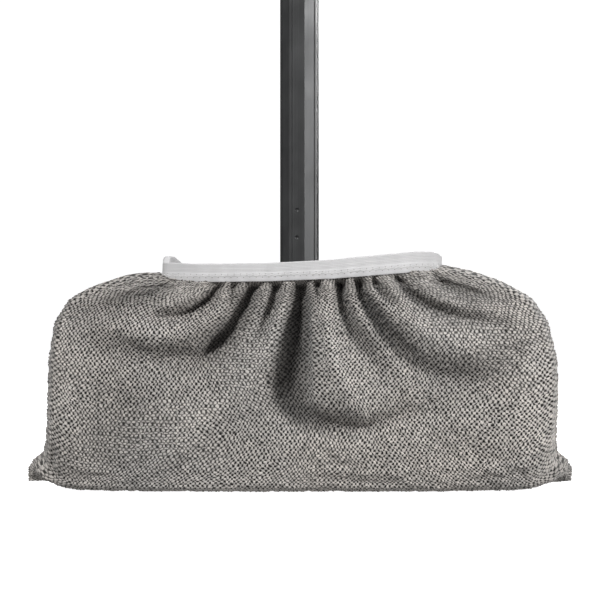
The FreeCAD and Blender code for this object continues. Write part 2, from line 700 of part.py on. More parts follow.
def main():
    os.makedirs("parts", exist_ok=True)
    rows = [FIRST_ROW_Y + ROW_PITCH * number for number in range(3)]
    front, rear = cover_panels()
    save(front, "cover_front_panel")
    save(rear, "cover_rear_panel")
    save(elastic_band(), "elastic_band")

    for name, y in zip(("front", "middle", "rear"), rows):
        save(bristle_row(y), "bristle_row_" + name)
    save(squeegee_blade(), "squeegee_blade")
    save(head_base(rows), "head_base")
    save(head_shell(), "head_shell")
    save(head_screws(), "head_screws")
    save(end_bumper(-1), "end_bumper_left")
    save(end_bumper(1), "end_bumper_right")
    save(pivot_bracket(), "pivot_bracket")
    save(bracket_screws(), "bracket_screws")

    save(pivot_bolt(), "pivot_bolt")
    save(pivot_nut(), "pivot_nut")
    save(pivot_washers(), "pivot_washers")
    save(neck_knuckle(), "neck_knuckle")
    save(lower_tube(), "lower_tube")
    save(clamp_collar(), "clamp_collar")
    save(clamp_bolt(), "clamp_bolt")
    save(cam_lever(), "cam_lever")
    save(lever_pin(), "lever_pin")

    save(upper_tube(), "upper_tube")
    save(guide_bush(), "guide_bush")
    save(hand_grip(), "hand_grip")
    save(end_cap(), "end_cap")
    save(hang_eye(), "hang_eye")


main()
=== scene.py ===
import math

import bpy
import numpy as np
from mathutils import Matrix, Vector


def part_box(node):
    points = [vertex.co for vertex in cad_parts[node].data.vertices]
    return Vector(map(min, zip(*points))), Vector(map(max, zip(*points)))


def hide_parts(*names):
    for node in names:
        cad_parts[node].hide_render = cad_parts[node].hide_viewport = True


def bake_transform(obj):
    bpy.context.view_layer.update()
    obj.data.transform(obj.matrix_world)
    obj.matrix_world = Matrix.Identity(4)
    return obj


# A carpet sweeper in its slip-on cover. Metres, in the CAD frame: +X along the head, +Z up, front is -Y.

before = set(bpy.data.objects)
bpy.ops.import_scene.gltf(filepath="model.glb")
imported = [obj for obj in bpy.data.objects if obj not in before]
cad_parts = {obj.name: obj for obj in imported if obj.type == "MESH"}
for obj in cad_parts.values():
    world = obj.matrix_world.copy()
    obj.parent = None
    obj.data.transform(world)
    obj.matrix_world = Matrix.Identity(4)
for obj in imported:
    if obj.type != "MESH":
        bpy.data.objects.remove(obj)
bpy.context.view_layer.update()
MM = 0.001

# ---------------------------------------------------------------- sizes taken from the frame

BAND_LOW, BAND_HIGH = (Vector(corner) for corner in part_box("elastic_band"))
HEAD_HIGH = Vector(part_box("head_shell")[1])
BAND_TALL = BAND_HIGH.z - BAND_LOW.z
HEM_INSET = 2.4 * MM  # from the band's outside to the line that the hem follows
MOUTH_X = (BAND_HIGH.x - BAND_LOW.x) / 2 - HEM_INSET  # half size of that line
MOUTH_Y = (BAND_HIGH.y - BAND_LOW.y) / 2 - HEM_INSET

# ---------------------------------------------------------------- cover: cut, loops and folds

CLOTH_WIDE = 0.346  # each panel as cut
CLOTH_TALL = 0.190
LOOP_COLUMNS = 116
LOOP_ROWS = 118
PER_LOOP = 3  # mesh points to a loop, each way
LOOP_HEIGHT = 1.0 * MM
LOOP_LEAN = 0.22 * MM
SEAM_BUMP = 1.2  # height of the loops that stand out at a seam, in loop heights
CELLS_WIDE = 112  # of the simulated mesh
CELLS_TALL = 64
SIM_FRAMES = 16
SIM_SHARE = 0.22  # how far the simulated shape replaces the one it starts from
SQUARENESS = 4.5  # of the pouch seen from above: 2 would be an ellipse
MOUTH_SQUARENESS = 2.6
EAR_SQUARENESS = 2.3
DEEPEST_FOLD = 18.0  # millimetres; the painted shade in the cloth's colour darkens with a fold's depth up to here
EAR_FORWARD = 9.0  # how far the bottom corners lie in front of the middle, in millimetres
EAR_SHARE = 0.22  # the ears reach up to this share of the cut's height
BOTTOM_SHARE = 0.2  # and the bottom seam's own shape up to this one
HEM_SHARE = 0.05  # the folds flatten out this close to the hem
SEAM_SHARE = 0.015  # and this close to the side seams, where the two panels meet

# From the bottom seam to the mouth: share of the cut's height, then height, half width and half depth
# of the pouch, and the height at its side seams, which curl up into an ear at each bottom corner.
# All but the share are in millimetres.
PROFILE = np.array(
    [
        (0.000, 0.9, 166.5, 0.0, 5.2),
        (0.100, 0.8, 168.0, 20.0, 12.5),
        (0.185, 1.0, 164.5, 41.0, 19.0),
        (0.220, 3.6, 158.5, 46.0, 24.0),
        (0.290, 16.0, 156.5, 46.5, 31.0),
        (0.400, 38.0, 156.0, 44.5, 46.0),
        (0.600, 77.0, 155.5, 41.5, 80.0),
        (0.740, 103.0, 151.5, 38.5, 103.5),
        (0.830, 116.5, 142.0, 35.5, 116.5),
        (0.900, 123.5, 126.5, 32.0, 125.5),
        (0.955, 128.0, 106.0, 28.5, 132.8),
        (1.000, 133.0, 86.0, 24.5, 136.0),
    ]
)
BULGE_RIGHT = 5.0  # how much further the right end stands out than the left
BULGE_HEIGHT = 70.0
BULGE_REACH = 42.0
BOTTOM_RISE_LEFT = 2.0  # the bottom seam lifts off the floor a little towards the left

# How far the mouth rises above its mean height along X, in millimetres: the right end is pulled up
MOUTH_LIFT = np.array(
    [(-130, 0.4), (-96, -0.6), (-84, -3.2), (-60, -3.9), (-20, -3.4), (20, -1.8), (50, 0.6), (72, 2.4), (90, 2.6)]
)

# Folds of the front panel, from the band outwards. Each point is x, z, half width and depth (inwards;
# a negative depth is a ridge that stands out), all in millimetres.
FRONT_FOLDS = [
    # the valley below the pole, which turns right under the swag beside it
    [(1, 132, 5.5, 8), (1, 116, 7, 19), (-1, 100, 8.5, 20), (-3, 80, 10, 19), (-5, 66, 11, 18)]
    + [(-4, 55, 10, 16), (7, 46, 8, 13), (33, 42, 5.5, 9), (52, 45, 5.5, 5), (78, 52, 7, 3.5)]
    + [(108, 64, 9, 2.5), (135, 86, 9, 1.5)],
    # the swag to the left
    [(-27, 130, 4, 11), (-31, 118, 5.5, 16), (-40, 103, 7.5, 16), (-52, 91, 9, 17), (-65, 83, 9, 9)]
    + [(-88, 83, 10, 6), (-115, 89, 10, 5), (-138, 99, 9, 3)],
    [(-48, 128, 3.5, 8), (-55, 119, 4.5, 11), (-68, 112, 4.5, 9), (-86, 108, 5, 5), (-98, 107, 6, 2)],
    [(-74, 130, 3, 4), (-86, 124, 5, 9), (-103, 119, 7, 11), (-120, 114, 7.5, 9), (-137, 111, 8, 4)],
    [(-40, 130, 2.5, 7), (-41, 119, 2.5, 6), (-44, 112, 2.5, 2)],
    [(-15, 130, 3.5, 10), (-15, 118, 4.5, 11), (-19, 106, 5, 8), (-24, 94, 5, 2)],
    [(11, 132, 3, 10), (12, 121, 3, 8), (13, 112, 3, 1)],
    [(25, 133, 3.5, 14), (26, 118, 4, 15), (32, 103, 5, 11), (42, 89, 6, 8), (52, 77, 7, 4)],
    # the swag to the right
    [(35, 133, 3, 11), (38, 122, 4, 15), (46, 110, 4.5, 15), (56, 98, 5.5, 14), (68, 87, 6.5, 12)]
    + [(82, 77, 7.5, 8.5), (100, 72, 8, 6.5), (119, 75, 9, 5), (134, 89, 9, 3)],
    [(45, 133, 3, 9), (49, 124, 3, 10), (57, 116, 3.5, 6), (65, 109, 4, 1)],
    [(59, 133, 3, 9), (67, 123, 3.5, 11), (81, 114, 4.5, 10), (101, 108, 5.5, 8), (126, 104, 6, 4)],
    [(80, 136, 2.5, 6), (87, 129, 4, 12), (101, 123, 4.5, 10), (119, 120, 5, 6), (132, 118, 5, 2)],
    [(66, 134, 2, 6), (70, 129, 2, 3)],
    # the tuck beside the left ear
    [(-153, 26, 3, 5), (-152, 16, 3, 4), (-148, 8, 3, 1)],
    # ridges
    [(-8, 118, 4, -3), (-16, 98, 6, -6), (-28, 78, 9, -7), (-42, 58, 10, -7), (-57, 45, 12, -5)]
    + [(-80, 30, 14, -3)],
    [(8, 126, 3, -2), (16, 105, 6, -6), (20, 86, 8, -10), (27, 68, 11, -9), (36, 57, 10, -6)],
    [(47, 121, 4, -2), (61, 110, 6, -4), (81, 99, 9, -6), (105, 92, 10, -6)],
    [(-48, 110, 5, -3), (-68, 99, 7, -4), (-100, 101, 8, -4)],
    [(-60, 122, 4, -2), (-82, 116, 5, -3)],
    [(20, 30, 10, -2), (60, 34, 12, -3), (100, 46, 12, -3)],
    # the ends stand out, with a hollow inside the left one
    [(146, 30, 26, -7), (146, 90, 26, -6)],
    [(-148, 45, 12, -4), (-146, 95, 12, -3)],
    [(-122, 30, 16, 3), (-112, 52, 18, 4)],
    [(-75, 30, 9, -2), (-72, 45, 10, -3)],
]
GATHERS = 15  # small ones along each side of the mouth
GATHER_DEPTH = 1.2
GATHER_WANDER = 0.35  # how far the gathers leave their even spacing, in gathers
REAR_GATHERS = 11
REAR_SPACING = 15.0
HEAD_CLEARANCE = 1.6
HEAD_LEANS_FROM = 77.0  # its long sides lean in above this height
HEAD_LEAN = 9.0


def rear_folds():
    """Gathers that fan out below the band at the back, where nothing else is known of them."""
    random = np.random.RandomState(7)
    folds = []
    for number in range(REAR_GATHERS):
        x = REAR_SPACING * (number - (REAR_GATHERS - 1) / 2) + random.uniform(-3, 3)
        length = random.uniform(35, 85)
        spread = x * length / 60
        wide = random.uniform(3.5, 5.0)
        deep = random.uniform(7, 12)
        line = [(x, 131, wide, deep), (x + 0.15 * spread, 131 - 0.35 * length, 1.3 * wide, deep)]
        line += [(x + 0.45 * spread, 131 - 0.75 * length, 1.7 * wide, 0.6 * deep)]
        line += [(x + spread, 131 - length, 2 * wide, 0.1 * deep)]
        folds.append(line)
    return folds


def smooth_line(points, steps=6):
    """Catmull-Rom curve through a fold's points."""
    line = np.array([points[0]] + list(points) + [points[-1]], float)
    curve = []
    for a, b, c, d in zip(line[:-3], line[1:-2], line[2:-1], line[3:]):
        for t in np.linspace(0, 1, steps, endpoint=False):
            bend = (2 * a - 5 * b + 4 * c - d) * t * t + (3 * b - a - 3 * c + d) * t**3
            curve.append(0.5 * (2 * b + (c - a) * t + bend))
    return np.array(curve + [line[-1]])


def fold_depth(x, z, folds):
    """How far the folds press in at (x, z), in millimetres."""
    total = np.zeros_like(x)
    for points in folds:
        nearest = np.full(x.shape, 1e9)
        here = np.zeros_like(x)
        line = smooth_line(points)
        for start, end in zip(line[:-1], line[1:]):
            run = (end - start)[:2]
            t = ((x - start[0]) * run[0] + (z - start[1]) * run[1]) / (run @ run)
            t = np.clip(t, 0, 1)
            away = np.hypot(x - start[0] - t * run[0], z - start[1] - t * run[1])
            half_width, depth = (start[k] + t * (end[k] - start[k]) for k in (2, 3))
            closer = away < nearest
            nearest = np.where(closer, away, nearest)
            here = np.where(closer, depth * np.exp(-((away / half_width) ** 2)), here)
        total += here
    return total


def head_depth(z):
    """Half depth that the head needs at height z, in millimetres, with room for the cloth."""
    beside = HEAD_HIGH.y / MM + HEAD_CLEARANCE
    return np.interp(z, [HEAD_LEANS_FROM, HEAD_HIGH.z / MM + 1], [beside, beside - HEAD_LEAN])


def mouth_lift(x):
    """Rise of the mouth at x (metres), in metres."""
    return np.interp(x / MM, MOUTH_LIFT[:, 0], MOUTH_LIFT[:, 1]) * MM


def pouch_start(side):
    """One panel (side -1 is the front) as it is put over the head: a grid of points, and how deep its folds are,
    which later sets the painted shade in folds and painted light on ridges.
    """
    u, v = np.meshgrid(np.linspace(0, 1, CELLS_WIDE + 1), np.linspace(0, 1, CELLS_TALL + 1))
    height, half_width, half_depth, seam = (np.interp(v, PROFILE[:, 0], PROFILE[:, k]) for k in range(1, 5))
    across = 2 * u - 1
    away = np.abs(across)
    near_bottom = np.clip(1 - v / BOTTOM_SHARE, 0, 1)

    # the seams' height: it rises towards the ends, and along the bottom a little to the left
    height = height + (seam - height) * away ** np.interp(v, [0, BOTTOM_SHARE / 2, BOTTOM_SHARE], [4, 7, 20])
    leftwards = np.clip(-across - 0.1, 0, 0.5) / 0.5
    height = height + BOTTOM_RISE_LEFT * leftwards * near_bottom * (1 - away**8)
    bulge = BULGE_RIGHT * np.exp(-(((height - BULGE_HEIGHT) / BULGE_REACH) ** 2))
    x = half_width * across + bulge * np.clip(across, 0, 1) ** 3
    z = height + mouth_lift(x * MM) / MM * np.clip(2 * v - 1, 0, 1) ** 2

    # the outline seen from above, with small gathers just below the band
    square = np.interp(v, [0.1, 0.35, 0.8, 1.0], [EAR_SQUARENESS, SQUARENESS, SQUARENESS, MOUTH_SQUARENESS])
    y = half_depth * np.clip(1 - away**square, 0, 1) ** (1 / square)
    near_band = np.clip((v - 0.78) / 0.16, 0, 1) * np.clip((1 - v) / 0.04, 0, 1)
    shift = GATHER_WANDER * np.sin(2 * np.pi * 2.3 * u + side)
    wave = np.cos(2 * np.pi * (GATHERS * u + shift) + 1 + side)
    y = y + GATHER_DEPTH * near_band * wave * (1 - away**8)

    # the folds, as deep as the head lets them be
    folds = FRONT_FOLDS if side < 0 else rear_folds()
    depth = fold_depth(x, z, folds) * np.clip((1 - v) / HEM_SHARE, 0, 1) * np.clip(v / BOTTOM_SHARE, 0, 1)
    depth = depth * np.clip((1 - away) / SEAM_SHARE, 0, 1)
    y = np.maximum(y - depth, np.minimum(y, head_depth(z)))
    forward = EAR_FORWARD * away**12 * np.clip(1 - v / EAR_SHARE, 0, 1)
    return np.stack([x, side * y - forward, z], -1) * MM, np.clip(depth / DEEPEST_FOLD, -1, 1)


def new_mesh(name, points, faces):
    """A smooth-shaded object of its own."""
    mesh = bpy.data.meshes.new(name)
    mesh.from_pydata([tuple(p) for p in points], [], faces)
    mesh.update()
    mesh.polygons.foreach_set("use_smooth", [True] * len(mesh.polygons))
    piece = bpy.data.objects.new(name, mesh)
    bpy.context.collection.objects.link(piece)
    return piece


def grid_faces(rows, columns, closed=False):
    """Quads of a grid with rows x columns points. A closed grid joins its last column to its first."""
    faces = []
    last = columns if closed else columns - 1
    for row in range(rows - 1):
        for column in range(last):
            right = (column + 1) % columns
            below = row * columns
            above = below + columns
            faces.append((below + column, below + right, above + right, above + column))
    return faces


def head_form():
    """Plain form of the head, for the cloth to rest on: height, half width and half depth at each level."""
    wide = HEAD_HIGH.x
    top = HEAD_HIGH.z - 2 * MM
    levels = [
        (8 * MM, wide, 10 * MM),
        (14 * MM, wide, 15 * MM),
        (46 * MM, wide, HEAD_HIGH.y),
        (76 * MM, wide, HEAD_HIGH.y),
        (97 * MM, wide, 17.5 * MM),
        (112 * MM, wide - 4 * MM, 15 * MM),
        (top - 3 * MM, wide - 12 * MM, 13 * MM),
        (top - 1 * MM, wide - 26 * MM, 11 * MM),
        (top, wide * 0.4, 8 * MM),
    ]
    around = 64
    rounding = 0.45  # 1 would make each level an ellipse
    points = []
    for z, a, b in levels:
        for step in range(around):
            c = math.cos(2 * math.pi * step / around)
            s = math.sin(2 * math.pi * step / around)
            x = a * math.copysign(abs(c) ** rounding, c)
            y = b * math.copysign(abs(s) ** rounding, s)
            points.append((x, y, z))
    faces = grid_faces(len(levels), around, closed=True)
    faces.append(tuple(reversed(range(around))))
    faces.append(tuple(range(len(points) - around, len(points))))
    return new_mesh("head_form", points, faces)


def make_collider(piece, gap, friction):
    piece.modifiers.new("Collision", "COLLISION")
    piece.collision.thickness_outer = gap
    piece.collision.cloth_friction = friction


def simulate(panels):
    """Settles the sewn pouch over the head, with the two flat cut panels as its unstretched shape."""
    index = {}
    points = []
    flat = []
    faces = []
    for side, grid in panels.items():
        for row in range(CELLS_TALL + 1):
            for column in range(CELLS_WIDE + 1):
                sewn = side > 0 and (row == 0 or column in (0, CELLS_WIDE))
                if sewn:
                    index[side, row, column] = index[-1, row, column]
                    continue
                index[side, row, column] = len(points)
                points.append(grid[row, column])
                flat_x = (column / CELLS_WIDE - 0.5) * CLOTH_WIDE
                flat.append((flat_x, side * 0.6 * MM, row / CELLS_TALL * CLOTH_TALL))
        for row in range(CELLS_TALL):
            for column in range(CELLS_WIDE):
                corners = ((row, column), (row, column + 1), (row + 1, column + 1), (row + 1, column))
                quad = [index[side, r, c] for r, c in corners]
                faces.append(quad if side < 0 else quad[::-1])

    pouch = new_mesh("pouch", points, faces)
    pouch.shape_key_add(name="Basis")
    cut = pouch.shape_key_add(name="cut")
    cut.data.foreach_set("co", np.array(flat).ravel())
    cut.value = 0
    hold = pouch.vertex_groups.new(name="hold")
    columns = range(CELLS_WIDE + 1)
    ears = [c for c in columns if min(c, CELLS_WIDE - c) < 4]
    hold.add([index[s, CELLS_TALL, c] for s in (-1, 1) for c in columns], 1.0, "REPLACE")
    hold.add([index[-1, 0, c] for c in columns], 0.6, "REPLACE")
    hold.add([index[s, r, c] for s in (-1, 1) for r in range(4) for c in ears], 0.9, "REPLACE")

    form = head_form()
    ground = new_mesh("ground", [(-1, -1, 0), (1, -1, 0), (1, 1, 0), (-1, 1, 0)], [(0, 1, 2, 3)])
    make_collider(form, 2 * MM, 8)
    make_collider(ground, 1.5 * MM, 15)

    cloth = pouch.modifiers.new("Cloth", "CLOTH")
    cloth.settings.quality = 8
    cloth.settings.mass = 0.3
    cloth.settings.air_damping = 4
    cloth.settings.bending_stiffness = 2
    cloth.settings.tension_damping = 10
    cloth.settings.compression_damping = 10
    cloth.settings.vertex_group_mass = "hold"
    cloth.settings.rest_shape_key = cut
    cloth.settings.use_pressure = True
    cloth.settings.uniform_pressure_force = 2
    cloth.collision_settings.collision_quality = 3
    cloth.collision_settings.distance_min = 1.5 * MM
    cloth.point_cache.frame_start = 1
    cloth.point_cache.frame_end = SIM_FRAMES
    for step in range(1, SIM_FRAMES + 1):
        bpy.context.scene.frame_set(step)

    settled = pouch.evaluated_get(bpy.context.evaluated_depsgraph_get()).data
    found = np.empty(len(settled.vertices) * 3)
    settled.vertices.foreach_get("co", found)
    found = found.reshape(-1, 3)
    result = {side: grid.copy() for side, grid in panels.items()}
    for (side, row, column), number in index.items():
        result[side][row, column] = found[number]
    bpy.context.scene.frame_set(1)
    for helper in (pouch, form, ground):
        bpy.data.objects.remove(helper)
    return result


def resampler(count, wanted):
    """Matrix that reads a row of count points at wanted evenly spaced places, with a cubic curve."""
    matrix = np.zeros((wanted, count))
    for row, place in enumerate(np.linspace(0, count - 1, wanted)):
        first = min(int(place), count - 2)
        t = place - first
        weights = (
            (-t + 2 * t * t - t**3) / 2,
            (2 - 5 * t * t + 3 * t**3) / 2,
            (t + 4 * t * t - 3 * t**3) / 2,
            (t**3 - t * t) / 2,
        )
        for offset, weight in zip((-1, 0, 1, 2), weights):
            matrix[row, min(max(first + offset, 0), count - 1)] += weight
    return matrix


def wander(random, rows, columns):
    """Smooth random shift of the knit, in loops: the sum of a long, a middling and a short wandering."""
    total = np.zeros((rows, columns))
    for reach, size in ((24, 0.45), (7, 0.22), (3, 0.12)):
        coarse = random.normal(0, size, (LOOP_ROWS // reach + 2, LOOP_COLUMNS // reach + 2))
        across = resampler(coarse.shape[1], columns)
        upwards = resampler(coarse.shape[0], rows)
        total += upwards @ coarse @ across.T
    return total


def unit(vectors):
    return vectors / np.maximum(np.linalg.norm(vectors, axis=-1, keepdims=True), 1e-12)


def panel_piece(name, coarse, painted_fold_tone, side):
    """One panel with its loops: each is a bead that stands out of the knit, with gaps round it.

    Point colours "Loops" hold each loop's tone, how staggered the knit is, and how deep the fold is; the last is
    painted into the cloth as shade in folds and light on ridges.
    """
    rows = LOOP_ROWS * PER_LOOP + 1
    columns = LOOP_COLUMNS * PER_LOOP + 1
    across = resampler(CELLS_WIDE + 1, columns)
    upwards = resampler(CELLS_TALL + 1, rows)
    points = np.einsum("ri,cj,ijk->rck", upwards, across, coarse, optimize=True)
    along_u = unit(np.gradient(points, axis=1))
    along_v = unit(np.gradient(points, axis=0))
    normal = unit(np.cross(along_u, along_v)) * (1 if side < 0 else -1)
    painted_fold_tone = upwards @ painted_fold_tone @ across.T

    random = np.random.RandomState(11 + side)
    c = np.arange(columns)[None, :]
    r = np.arange(rows)[:, None]
    loop_c = (c + 1) // PER_LOOP
    loop_r = (r + 1) // PER_LOOP
    shape = (LOOP_ROWS + 2, LOOP_COLUMNS + 2)
    size = random.uniform(0.5, 1.35, shape)[loop_r, loop_c]
    tone = random.uniform(0.0, 1.0, shape)[loop_r, loop_c]
    lean_u = LOOP_LEAN * random.normal(0, 1, shape)[loop_r, loop_c]
    lean_v = LOOP_LEAN * random.normal(0, 1, shape)[loop_r, loop_c]
    turn_u = c / PER_LOOP + wander(random, rows, columns)
    turn_v = r / PER_LOOP + wander(random, rows, columns)
    stagger = np.clip(0.9 + 0.5 * wander(random, rows, columns), 0.6, 1)
    straight = (np.cos(2 * np.pi * turn_u) + np.cos(2 * np.pi * turn_v)) / 2
    staggered = np.cos(2 * np.pi * turn_u) * np.cos(np.pi * turn_v)
    bead = np.clip(0.6 + 0.6 * (straight + stagger * (staggered - straight)), 0, 1)
    edge = np.minimum(np.minimum(c, columns - 1 - c), np.minimum(r, rows - 1 - r))
    inside = np.clip(edge / 1.5, 0, 1)
    lift = LOOP_HEIGHT * bead * size * inside
    points = points + normal * lift[..., None]
    # both panels have the same loops along the seams that join them
    bumps = LOOP_HEIGHT * np.random.RandomState(5).uniform(0, SEAM_BUMP, columns + rows)
    points[:, 0, 0] -= bumps[:rows]
    points[:, -1, 0] += bumps[:rows]
    points[0, :, 2] -= 0.5 * bumps[rows:]
    points = points + along_u * (lean_u * bead * inside)[..., None]
    points = points + along_v * (lean_v * bead * inside)[..., None]

    faces = grid_faces(rows, columns)
    if side > 0:
        faces = [face[::-1] for face in faces]
    piece = new_mesh(name, points.reshape(-1, 3), faces)
    mesh = piece.data
    colours = np.ones((rows * columns, 4), np.float32)
    colours[:, 0] = tone.ravel()
    colours[:, 1] = stagger.ravel()
    # blue carries the fold depth, painted into the cloth as shade in folds and light on ridges
    colours[:, 2] = 0.5 + 0.5 * painted_fold_tone.ravel()
    layer = mesh.color_attributes.new("Loops", "FLOAT_COLOR", "POINT")
    layer.data.foreach_set("color", colours.ravel())
    uv = mesh.uv_layers.new(name="Cloth")
    corner = np.empty(len(mesh.loops), np.int32)
    mesh.loops.foreach_get("vertex_index", corner)
    flat = np.stack([turn_u / LOOP_COLUMNS, turn_v / LOOP_ROWS], -1).reshape(-1, 2)
    uv.data.foreach_set("uv", flat[corner].astype(np.float32).ravel())
    return piece


# ---------------------------------------------------------------- materials


class Nodes:
    """Short way to write a material's nodes."""

    def __init__(self, name):
        self.material = bpy.data.materials.new(name)
        self.material.use_nodes = True
        self.tree = self.material.node_tree
        self.shader = self.tree.nodes["Principled BSDF"]

    def add(self, kind, settings=None, **inputs):
        node = self.tree.nodes.new("ShaderNode" + kind)
        for key, value in (settings or {}).items():
            setattr(node, key, value)
        for key, value in inputs.items():
            self.feed(node, key.replace("_", " "), value)
        return node

    def feed(self, node, key, value):
        if isinstance(value, bpy.types.NodeSocket):
            self.tree.links.new(value, node.inputs[key])
        else:
            node.inputs[key].default_value = value

    def place(self, scale):
        """Object coordinates, scaled."""
        coordinates = self.add("TexCoord")
        mapping = self.add("Mapping", Vector=coordinates.outputs["Object"])
        mapping.inputs["Scale"].default_value = scale
        return mapping.outputs["Vector"]

    def noise(self, scale, detail=2.0, vector=None, output="Fac"):
        vector = vector or self.place((1, 1, 1))
        return self.add("TexNoise", Vector=vector, Scale=scale, Detail=detail).outputs[output]

    def ramp(self, value, stops):
        """Colour at value, between stops of (position, colour)."""
        node = self.add("ValToRGB", Fac=value)
        ramp = node.color_ramp
        while len(ramp.elements) < len(stops):
            ramp.elements.new(0.5)
        for element, (position, colour) in zip(ramp.elements, stops):
            element.position = position
            element.color = tuple(colour) + (1,)
        return node.outputs["Color"]

    def math(self, operation, first, second):
        node = self.add("Math", {"operation": operation})
        self.feed(node, 0, first)
        self.feed(node, 1, second)
        return node.outputs[0]

    def multiply(self, first, second):
        """Product of two colours."""
        node = self.add("Mix", {"data_type": "RGBA", "blend_type": "MULTIPLY"})
        self.feed(node, 0, 1.0)
        self.feed(node, 6, first)
        self.feed(node, 7, second)
        return node.outputs[2]

    def bump(self, height, distance, strength=1.0, normal=None):
        node = self.add("Bump", Height=height, Distance=distance, Strength=strength)
        if normal:
            self.feed(node, "Normal", normal)
        return node.outputs["Normal"]

    def finish(self, **inputs):
        for key, value in inputs.items():
            self.feed(self.shader, key.replace("_", " "), value)
        return self.material


def grey(level, warmth=0.0):
    """A grey, redder and less blue by the share warmth."""
    return (level * (1 + warmth), level, level * (1 - warmth))


def fabric_material():
    """Grey microfibre loops: pale beads with painted shade darkening the gaps round them, and fine fibres on each.

    The beads are the same waves as the mesh's loops, made less even by a noise of about their own size.
    """
    m = Nodes("microfibre_loops")
    uv = m.add("UVMap", {"uv_map": "Cloth"}).outputs["UV"]
    parts = m.add("SeparateXYZ", Vector=uv)
    loops = m.add("Attribute", {"attribute_name": "Loops"}).outputs["Color"]
    kinds = m.add("SeparateColor", Color=loops).outputs
    uneven = m.add("SeparateColor", Color=m.noise(380.0, 1.0, output="Color")).outputs
    turn_u = m.math("MULTIPLY", parts.outputs["X"], 2 * math.pi * LOOP_COLUMNS)
    turn_v = m.math("MULTIPLY", parts.outputs["Y"], math.pi * LOOP_ROWS)
    turn_u = m.math("ADD", turn_u, m.math("MULTIPLY", uneven["Red"], 5.0))
    turn_v = m.math("ADD", turn_v, m.math("MULTIPLY", uneven["Green"], 3.5))
    wave_u = m.math("COSINE", turn_u, 0.0)
    wave_v = m.math("COSINE", m.math("MULTIPLY", turn_v, 2.0), 0.0)
    straight = m.math("MULTIPLY", m.math("ADD", wave_u, wave_v), 0.5)
    staggered = m.math("MULTIPLY", wave_u, m.math("COSINE", turn_v, 0.0))
    change = m.math("MULTIPLY", m.math("SUBTRACT", staggered, straight), kinds["Green"])
    bead = m.math("ADD", m.math("MULTIPLY", m.math("ADD", straight, change), 0.5), 0.5)

    # painted shade: the gaps between the beads are coloured near black, where the loops shadow each other
    painted_gap_shade = m.ramp(bead, [(0.15, grey(0.02, 0.02)), (0.4, grey(0.26)), (0.62, grey(1.0))])
    pale = m.ramp(kinds["Red"], [(0.0, grey(0.34, 0.055)), (1.0, grey(0.53, 0.065))])
    # painted shade and light from fold depth, 0.5 being level cloth: ridges below it are painted paler, and folds
    # above it painted darker
    shade = m.ramp(kinds["Blue"], [(0.2, grey(1.3)), (0.5, grey(1.0)), (0.75, grey(0.62)), (1.0, grey(0.28))])
    patches = m.ramp(m.noise(14.0), [(0.3, grey(0.93, -0.015)), (0.7, grey(1.06, 0.01))])
    fibres = m.noise(2600.0, 3.0)
    colour = pale
    for tone in (painted_gap_shade, shade, patches, m.ramp(fibres, [(0.3, grey(0.8)), (0.7, grey(1.15))])):
        colour = m.multiply(colour, tone)
    normal = m.bump(bead, 0.5 * MM, 0.5)
    normal = m.bump(fibres, 0.25 * MM, 0.6, normal)
    m.shader.inputs["Sheen Weight"].default_value = 0.15
    m.shader.inputs["Sheen Roughness"].default_value = 0.5
    m.shader.inputs["Specular IOR Level"].default_value = 0.2
    return m.finish(Base_Color=colour, Roughness=0.92, Normal=normal)


def elastic_material():
    """White knitted elastic with fine lengthwise ribs."""
    m = Nodes("white_elastic")
    uv = m.add("UVMap", {"uv_map": "Cloth"})
    ribs = m.add("Mapping", Vector=uv.outputs["UV"])
    ribs.inputs["Scale"].default_value = (260, 1, 1)
    along = {"bands_direction": "X"}
    weave = m.add("TexWave", along, Vector=ribs.outputs["Vector"], Scale=1.0, Distortion=1.5)
    knit = m.math("ADD", weave.outputs["Fac"], m.noise(1500.0))
    shade = m.ramp(m.noise(60.0), [(0.3, (0.55, 0.545, 0.55)), (0.7, (0.61, 0.605, 0.61))])
    normal = m.bump(knit, 0.12 * MM, 0.7)
    m.shader.inputs["Sheen Weight"].default_value = 0.2
    return m.finish(Base_Color=shade, Roughness=0.8, Normal=normal)


def thread_material():
    """White polyester thread with its twist."""
    m = Nodes("white_thread")
    twist = m.noise(3000.0)
    shade = m.ramp(twist, [(0.3, (0.62, 0.615, 0.61)), (0.7, (0.74, 0.735, 0.73))])
    return m.finish(Base_Color=shade, Roughness=0.7, Normal=m.bump(twist, 0.05 * MM))


def pole_material():
    """Dark grey painted aluminium: fine drawing lines along the tube and a little wear."""
    m = Nodes("dark_grey_tube")
    lines = m.noise(1.0, 2.0, m.place((1500, 1500, 6)))
    wear = m.noise(45.0, 4.0)
    shade = m.ramp(wear, [(0.35, grey(0.045, -0.02)), (0.65, grey(0.058, -0.02))])
    shade = m.multiply(shade, m.ramp(lines, [(0.3, grey(0.85)), (0.7, grey(1.12))]))
    rough = m.ramp(wear, [(0.3, grey(0.42)), (0.7, grey(0.55))])
    return m.finish(Base_Color=shade, Metallic=0.35, Roughness=rough, Normal=m.bump(lines, 0.04 * MM, 0.5))


def plastic_material(name, level, rough, grain=900.0, warmth=0.0):
    """Moulded plastic with a fine spark-eroded grain and slightly polished high spots."""
    m = Nodes(name)
    texture = m.noise(grain, 3.0)
    smudges = m.noise(35.0, 3.0)
    shade = m.ramp(smudges, [(0.3, grey(level * 0.9, warmth)), (0.7, grey(level * 1.12, warmth))])
    roughness = m.ramp(smudges, [(0.3, grey(rough - 0.06)), (0.7, grey(rough + 0.06))])
    return m.finish(Base_Color=shade, Roughness=roughness, Normal=m.bump(texture, 0.08 * MM, 0.5))


def rubber_material(name, level):
    """Matt rubber with pores and a little dust."""
    m = Nodes(name)
    pores = m.noise(1400.0, 4.0)
    dust = m.noise(60.0, 4.0)
    shade = m.ramp(dust, [(0.35, grey(level)), (0.75, grey(level * 1.5, 0.03))])
    return m.finish(Base_Color=shade, Roughness=0.8, Normal=m.bump(pores, 0.1 * MM, 0.7))


